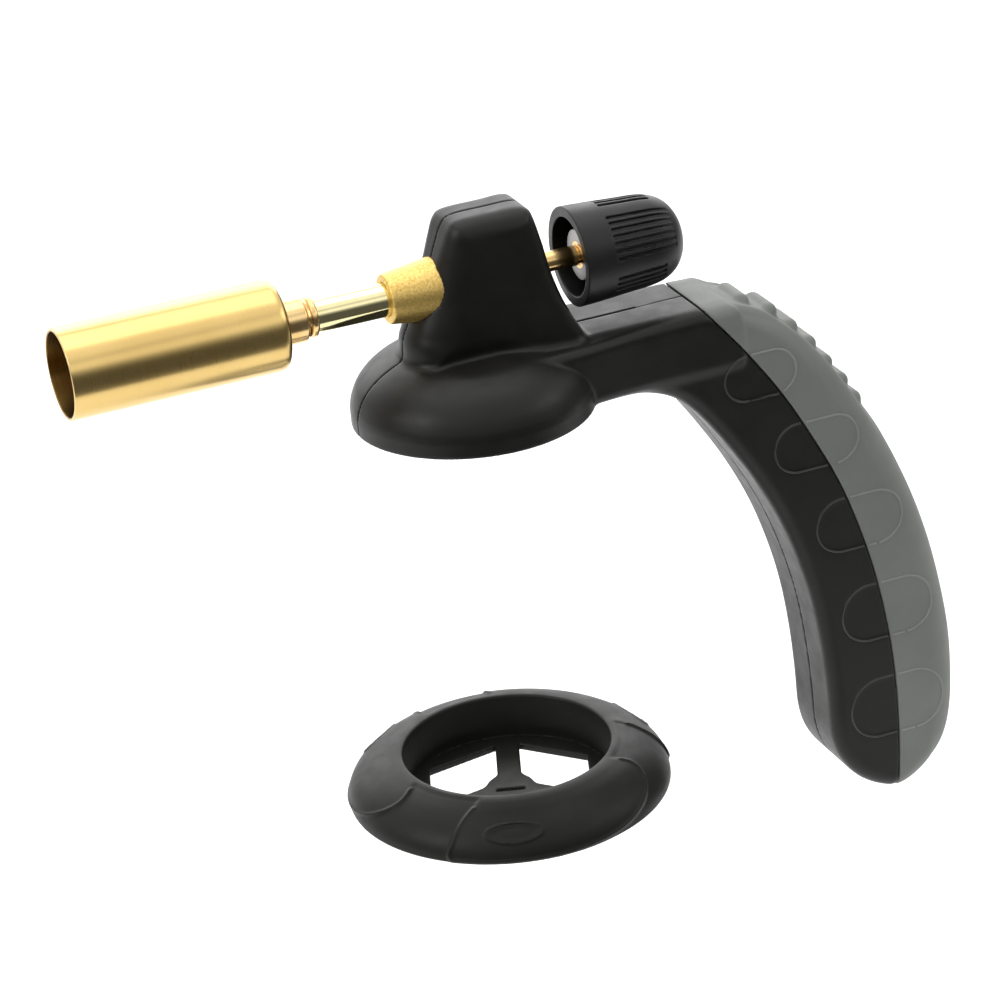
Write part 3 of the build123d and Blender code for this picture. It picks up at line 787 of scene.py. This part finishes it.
def ring_field(x, y, z):
    """Foot ring: skirt with its relief, bore, floor with windows, and clip ribs."""
    radius = np.hypot(x, y)
    height = z - RING_BASE
    ring = around(radius, height, RING_OUTSIDE)
    facing = np.degrees(np.arctan2(y, x)) - (RING_TURN + 180)
    heading = (facing + 60) % 120
    length = np.clip(height + RING_R - radius, 0, 39.5)
    relief = look_up(ring_relief(), heading / RELIEF_CELL, length / RELIEF_CELL)
    fade = part_way(radius, 35.2, 1.5) * part_way(length, 1, 2)
    ring = ring + (0.45 - relief) * fade
    ring = round_cut(ring, np.maximum(CAN_R - radius, FLOOR_TOP - height), 0.9)
    ring = np.minimum(ring, np.maximum(radius - 34, np.abs(height - 2.2) - 1.1))
    ring = np.maximum(ring, -around(radius, height, RING_UNDER))
    a, b = np.cos(np.radians(RING_TURN)), np.sin(np.radians(RING_TURN))
    u, v = x * a + y * b, -x * b + y * a
    window = np.maximum(ring_windows(u, v, radius), height - 6)
    slit = np.maximum(np.abs(u + 3.0) - 0.8, np.abs(v) - 4.6)
    ring = np.maximum(ring, -round_cut(window, -height - 3, 0.3))
    ring = np.maximum(ring, -np.maximum(slit, height - 6))
    for k in range(3):  # vertical clip ribs that grip the can
        along, aside = turned_to(u, v, 2 * pi * k / 3 + pi / 3)
        for shift in (-5.5, 5.5):
            rib = np.maximum(np.abs(aside - shift) - 0.55, np.abs(along - 33.2) - 0.22)
            ring = np.minimum(ring, np.maximum(rib, np.abs(height - 7.5) - 5))
    return ring


ring_step = 0.42
(x, y, z), lines = axes(RING_LOW, RING_HIGH, ring_step)
ring_verts, ring_faces = surface(ring_field(x, y, z), lines)
make_piece("stand_ring", ring_verts, ring_faces, "foot_ring", MATERIALS["ring_plastic"],
           ["foot_ring"], 50)


# ------------------------------------------------------------------ knob
KNOB_RIM = KNOB_LOW[0]
KNOB_TIP = KNOB_HIGH[0]
KNOB_R = KNOB_HIGH[1]
GROOVE_START = 45.6
# Grooves: heading in degrees, start and end; three long runs of seven, and three short runs of three between.
GROOVES = [(148.3 + 120 * k + 8.6 * i, GROOVE_START, 66.5) for k in range(3) for i in range(-3, 4)]
GROOVES += [(208.3 + 120 * k + 9.0 * i, GROOVE_START, 62.5) for k in range(3) for i in range(-1, 2)]
KNOB_OUTSIDE = smooth_line([(KNOB_R, KNOB_RIM), (15.35, 44), (14.75, 53), (14.3, 60), (13.3, 64.4),
                            (11.2, 68), (8.0, 70.5), (4.0, 71.9), (0, KNOB_TIP)], steps=6)
KNOB_INSIDE = [(0, WASHER_HIGH[0]), (8.0, WASHER_HIGH[0]), (8.0, 60), (12.0, 60)]
KNOB_SIDE = [(12.5, KNOB_RIM), (KNOB_R, KNOB_RIM)] + KNOB_OUTSIDE.tolist() + KNOB_INSIDE


def knob_field(x, y, z):
    """Knob with its grooves, about the gas line."""
    gas = np.hypot(y, z - AXIS_Z)
    body = around(gas, x, KNOB_SIDE, 0.2)
    body = round_cut(body, gas - KNOB_R, 0.5)
    body = round_cut(body, KNOB_RIM - x, 0.5)
    side = 15.95 - 0.066 * (x - KNOB_RIM) - 1.05 * part_way(x, 60, 6.5) ** 2  # radius of the flutes' crests
    for turn, start, end in GROOVES:
        t = radians(turn)
        aside = -y * sin(t) + (z - AXIS_Z) * cos(t)
        along = y * cos(t) + (z - AXIS_Z) * sin(t)
        depth = np.where(along > 0, side - 0.85 - gas, 1e3)
        slot = round_cut(np.abs(aside) - 0.62, np.abs(x - (start + end) / 2) - (end - start) / 2, 0.3)
        body = smooth_cut(body, -np.maximum(slot, depth), 0.25)
    return body


knob_step = 0.26
(x, y, z), lines = axes(KNOB_LOW, KNOB_HIGH, knob_step)
knob_verts, knob_faces = surface(knob_field(x, y, z), lines)
make_piece("grip_knob", knob_verts, knob_faces, "knob", MATERIALS["knob_plastic"],
           ["knob"], 50)


# ------------------------------------------------------------------ turned pieces on the gas line
def rounded(outline, radii, steps=5):
    """Outline (x, radius) with each corner turned to an arc of its radius."""
    points = []
    count = len(outline)
    for k, corner in enumerate(outline):
        size = radii.get(k, 0.12)
        here = Vector(corner)
        before = Vector(outline[k - 1]) - here
        after = Vector(outline[(k + 1) % count]) - here
        size = min(size, 0.45 * before.length, 0.45 * after.length)
        if size < 0.02 or here.y < 0.01:
            points.append(tuple(here))
            continue
        a, b = here + before.normalized() * size, here + after.normalized() * size
        for i in range(steps + 1):
            t = i / steps
            points.append(tuple(a * (1 - t) ** 2 + here * 2 * t * (1 - t) + b * t ** 2))
    return points


def lathe(outline, segments=144):
    """Closed surface of an outline (x, radius) turned about the gas line."""
    verts, faces, rings = [], [], []
    for px, pr in outline:
        if pr < 0.01:
            rings.append([len(verts)])
            verts.append((px, 0, AXIS_Z))
        else:
            rings.append(list(range(len(verts), len(verts) + segments)))
            verts += [(px, pr * cos(2 * pi * i / segments), AXIS_Z + pr * sin(2 * pi * i / segments))
                      for i in range(segments)]
    for a, b in zip(rings, rings[1:] + rings[:1]):
        for i in range(segments):
            j = (i + 1) % segments
            corners = [a[i % len(a)], a[j % len(a)], b[j % len(b)], b[i % len(b)]]
            corners = list(dict.fromkeys(corners))
            if len(corners) > 2:
                faces.append(corners)
    return np.array(verts), faces


def turned(name, outline, radii, body, slot, nodes, sharp=40):
    """Piece turned about the gas line, with its corners rounded by radii (corner number: mm)."""
    verts, faces = lathe(rounded(outline, radii))
    piece = make_piece(name, verts, faces, body, MATERIALS[slot], nodes, sharp)
    mesh = bmesh.new()
    mesh.from_mesh(piece.data)
    bmesh.ops.recalc_face_normals(mesh, faces=mesh.faces)
    mesh.to_mesh(piece.data)
    mesh.free()
    return piece


CUP_R = CUP_HIGH[1]
CUP_WALL, CUP_BACK_WALL = 1, 1.6
MOUTH, BACK = CUP_LOW[0], CUP_HIGH[0]
CUP_END = BACK - CUP_BACK_WALL  # inner face of the back wall
NECK_R = 7.0
NECK_BORE, NECK_STEP = 5.0, -56.3  # bore of the neck, and where it widens to take the tube
TUBE_R, TUBE_BORE = 5.25, 3.4
NEEDLE_R, NEEDLE_TIP_R = 3.2, 0.95
WASHER_R, WASHER_BORE = 8.0, 4.35
NECK_FRONT, NECK_REAR = NECK_LOW[0], NECK_HIGH[0]
TUBE_FRONT, TUBE_REAR = TUBE_LOW[0], TUBE_HIGH[0]
BEAD_FRONT, BEAD_REAR = COLLAR_LOW[0], COLLAR_HIGH[0]
NEEDLE_TIP, NEEDLE_END = SPINDLE_LOW[0], 62
WASHER_FRONT, WASHER_REAR = WASHER_LOW[0], WASHER_HIGH[0]

turned("burner_barrel",
       [(MOUTH, CUP_R - CUP_WALL), (MOUTH, CUP_R), (BACK, CUP_R), (BACK, NECK_R), (CUP_END, NECK_R),
        (CUP_END, CUP_R - CUP_WALL)],
       {0: 0.3, 1: 0.35, 2: 4.2, 3: 0.2, 4: 0.2, 5: 2.6}, "torch", "burner_brass", ["burner_cup"])
turned("burner_throat",
       [(NECK_FRONT, NECK_BORE), (NECK_FRONT, NECK_R), (-51.9, NECK_R), (-51.2, 6.3), (NECK_REAR, 6.0),
        (NECK_REAR, TUBE_R), (NECK_STEP, TUBE_R), (NECK_STEP, NECK_BORE)],
       {1: 0.4, 2: 0.25, 3: 0.2, 4: 0.2}, "torch", "turned_brass", ["burner_neck"])
turned("lance_pipe",
       [(TUBE_FRONT, TUBE_BORE), (TUBE_FRONT, TUBE_R), (TUBE_REAR, TUBE_R), (TUBE_REAR, TUBE_BORE)],
       {}, "torch", "plated_tube", ["lance_tube"])
turned("pipe_bead",
       [(BEAD_FRONT, TUBE_R), (BEAD_FRONT, 5.7), (-49.8, 6.3), (-48.5, 6.3), (BEAD_REAR, 5.8),
        (BEAD_REAR, TUBE_R)],
       {1: 0.2, 2: 0.45, 3: 0.45, 4: 0.2}, "torch", "turned_brass", ["tube_collar"])
turned("needle_spindle",
       [(NEEDLE_TIP, 0), (NEEDLE_TIP, 0.3), (-3, NEEDLE_TIP_R), (2.5, NEEDLE_TIP_R), (2.5, NEEDLE_R),
        (5.9, NEEDLE_R), (5.9, 2.0), (7.3, 2.0), (7.3, NEEDLE_R),  # groove for the O-ring
        (37.6, NEEDLE_R), (37.6, 2.75), (38.6, 2.75), (38.6, NEEDLE_R),  # groove in front of the bush
        (NEEDLE_END, NEEDLE_R), (NEEDLE_END, 0)],
       {9: 0.2, 12: 0.2}, "knob", "turned_brass", ["spindle"])
turned("knob_disc",
       [(WASHER_FRONT, WASHER_BORE), (WASHER_FRONT, WASHER_R), (WASHER_REAR, WASHER_R),
        (WASHER_REAR, WASHER_BORE)],
       {1: 0.3}, "knob", "steel", ["knob_washer"])


# ------------------------------------------------------------------ valve body: cast snout and threaded leg
SNOUT_SIDE = [(0, -25), (7.3, -25), (7.75, -24.5), (SNOUT_R, SNOUT_ROOT), (SNOUT_R, 10), (8, 12), (8, 17),
              (0, 17)]
THREAD_DEEP = 0.45
THREAD_TOP = 9.2
# Bores of the valve body as radius, start and end: up the leg (seal, inlet), then along the gas line
# (tube, jet, needle, gland nut).
LEG_BORES = [(5.6, 9, 10.5), (3.2, 10, 15)]
GAS_BORES = [(5.3, -27, -17), (2.0, -18, -5), (3.35, -3.2, 12), (5.55, 10, 19)]


def valve_field(x, y, z):
    """Cast body: snout on the gas line, and the upright leg with the thread for the cartridge."""
    gas = np.hypot(y, z - AXIS_Z)
    upright = np.hypot(x, y)
    snout = around(gas, x, SNOUT_SIDE)
    leg = np.minimum(bore(upright, z, 9, 0, AXIS_Z), bore(upright, z, BODY_R, 0, 2.5))
    body = smooth_union(snout, leg, 0.6)
    turn = np.arctan2(y, x) / (2 * pi)
    groove = np.abs(((z / THREAD_PITCH - turn) % 1) * 2 - 1)
    thread = THREAD_R + THREAD_DEEP * groove * (z < THREAD_TOP)
    body = np.maximum(body, -np.maximum(upright - thread, np.abs(z - 4) - 5.2))
    for size, start, end in LEG_BORES:
        body = np.maximum(body, -bore(upright, z, size, start, end))
    for size, start, end in GAS_BORES:
        body = np.maximum(body, -bore(gas, x, size, start, end))
    return body


valve_step = 0.3
(x, y, z), lines = axes(BODY_LOW, BODY_HIGH, valve_step)
valve_verts, valve_faces = surface(valve_field(x, y, z), lines, 1)
make_piece("valve_casting", valve_verts, valve_faces, "torch", MATERIALS["cast_brass"],
           ["valve_body"], 50)


# ------------------------------------------------------------------ camera, light and floor
camera = bpy.data.objects.new("camera", bpy.data.cameras.new("camera"))
bpy.context.scene.collection.objects.link(camera)
bpy.context.scene.camera = camera
camera.data.lens = 144
camera.data.sensor_width = 36
camera.data.clip_start, camera.data.clip_end = 0.05, 30
CAMERA_PLACE = (-0.3885, -1.0623, 0.4641)
CAMERA_AXES = ((0.91963, -0.38308, -0.08671),  # to its right
               (0.23184, 0.35125, 0.90712),  # up
               (-0.31705, -0.85433, 0.41183))  # back, away from the object
camera.matrix_world = Matrix(CAMERA_AXES).transposed().to_4x4()
camera.location = CAMERA_PLACE

bpy.context.scene.view_settings.view_transform = "Standard"

# The floor (in metres) ends in front of the object, so that its front sees the dark below the horizon.
FLOOR_Z = -0.36
FLOOR_FRONT, FLOOR_BACK, FLOOR_SIDE = -0.45, 9, 5
floor_mesh = bpy.data.meshes.new("floor")
floor_mesh.from_pydata([(-FLOOR_SIDE, FLOOR_FRONT, FLOOR_Z), (FLOOR_SIDE, FLOOR_FRONT, FLOOR_Z),
                        (FLOOR_SIDE, FLOOR_BACK, FLOOR_Z), (-FLOOR_SIDE, FLOOR_BACK, FLOOR_Z)],
                       [], [(0, 1, 2, 3)])
floor = bpy.data.objects.new("floor", floor_mesh)
bpy.context.scene.collection.objects.link(floor)
floor_paint, _, floor_shader = shader_of("floor_paint")
floor_shader.inputs["Base Color"].default_value = (0.93, 0.93, 0.93, 1)
floor_shader.inputs["Roughness"].default_value = 0.9
floor_mesh.materials.append(floor_paint)


def soft_light(name, place, aim, width, height, power):
    """Rectangular light at a place, aimed at a point; metres and watts."""
    lamp = bpy.data.lights.new(name, "AREA")
    lamp.shape = "RECTANGLE"
    lamp.size, lamp.size_y = width, height
    lamp.energy = power
    lamp_object = bpy.data.objects.new(name, lamp)
    bpy.context.scene.collection.objects.link(lamp_object)
    lamp_object.location = place
    lamp_object.rotation_euler = (Vector(aim) - Vector(place)).to_track_quat("-Z", "Y").to_euler()


soft_light("overhead", (0.0, 0.25, 1.3), (0.0, 0.05, 0.0), 1.5, 1.1, 6)
soft_light("back_box", (0.5, 2.1, 1.0), (0.1, 0.2, 0.0), 3.2, 1.7, 34)
soft_light("left_box", (-1.6, -0.3, 0.95), (-0.02, 0, 0.0), 0.8, 0.8, 9)
soft_light("right_box", (1.4, -0.7, 0.8), (0.05, 0, -0.05), 0.7, 0.8, 3)

# Brightness of the light tent against the height of the direction (0 is level, 1 overhead): dark horizon,
# bright band, dark seam, bright top.
TENT = [(0.0, 0.08), (0.15, 0.09), (0.34, 0.45), (0.43, 1.0), (0.60, 0.92), (0.70, 0.55), (0.79, 0.95),
        (1.0, 1.0)]
TENT_STRENGTH = 1.25
BACKDROP = 0.85  # brightness of the white backdrop
BACKDROP_EDGE = (0.25, 0.7)  # how far a direction points backwards where it starts, and where it is full
world = bpy.data.worlds.new("studio")
bpy.context.scene.world = world
world.use_nodes = True
tree = world.node_tree
shade = tree.nodes["Background"]
place = tree.nodes.new("ShaderNodeTexCoord")
split = tree.nodes.new("ShaderNodeSeparateXYZ")
tree.links.new(place.outputs["Generated"], split.inputs["Vector"])
ramp = tree.nodes.new("ShaderNodeValToRGB")
stops = ramp.color_ramp.elements
stops[0].position, stops[0].color = TENT[0][0], (*[TENT[0][1]] * 3, 1)
stops[1].position, stops[1].color = TENT[-1][0], (*[TENT[-1][1]] * 3, 1)
for height, glow in TENT[1:-1]:
    stops.new(height).color = (glow, glow, glow, 1)
tree.links.new(split.outputs["Z"], ramp.inputs["Fac"])
backdrop = tree.nodes.new("ShaderNodeMapRange")
backdrop.inputs["From Min"].default_value = BACKDROP_EDGE[0]
backdrop.inputs["From Max"].default_value = BACKDROP_EDGE[1]
backdrop.inputs["To Max"].default_value = BACKDROP
tree.links.new(split.outputs["Y"], backdrop.inputs["Value"])
lighter = tree.nodes.new("ShaderNodeMath")
lighter.operation = "MAXIMUM"
tree.links.new(ramp.outputs["Color"], lighter.inputs[0])
tree.links.new(backdrop.outputs["Result"], lighter.inputs[1])
tree.links.new(lighter.outputs[0], shade.inputs["Color"])
shade.inputs["Strength"].default_value = TENT_STRENGTH
